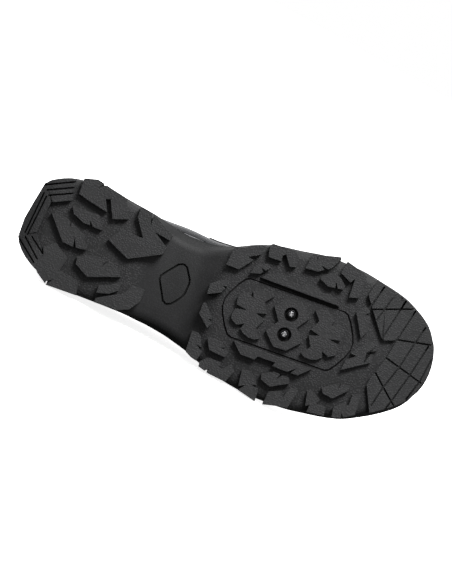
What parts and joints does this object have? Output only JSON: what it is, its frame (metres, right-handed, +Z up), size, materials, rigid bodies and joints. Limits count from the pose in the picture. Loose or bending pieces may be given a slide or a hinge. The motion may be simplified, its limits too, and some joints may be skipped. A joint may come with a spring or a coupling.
{
  "type": "cycling shoe",
  "caption": "Left cycling shoe with a lugged rubber sole, a bolted cleat cover, a hollow upper and two closing straps, lying on its outer side",
  "frame": {"origin": "Centre of the bounding box at floor level. The shoe lies on its outer side and the floor is Z = 0.", "axes": "X runs from heel to toe along the floor, Y from the sole towards the top of the shoe, so that the sole faces -Y, and Z is up, towards the arch side."},
  "size_m": [0.286, 0.1218, 0.1112],
  "materials": {
    "tread_rubber": "matt, finely stippled",
    "upper_leather": "fine-grained synthetic leather",
    "cap_rubber": "matt",
    "lining_fabric": "knitted mesh",
    "insole_fabric": "brushed cloth on foam",
    "strap_webbing": "coated hook-and-loop strap",
    "screw_steel": "turned steel"
  },
  "bodies": {
    "root": {"outsole": "tread_rubber", "upper": "upper_leather", "toe_cap": "cap_rubber", "tongue": "lining_fabric", "collar_pad": "lining_fabric", "insole": "insole_fabric", "strap_rear": "strap_webbing", "strap_front": "strap_webbing", "cleat_cover": "tread_rubber", "cleat_screw_medial": "screw_steel", "cleat_screw_lateral": "screw_steel"}
  },
  "joints": []
}
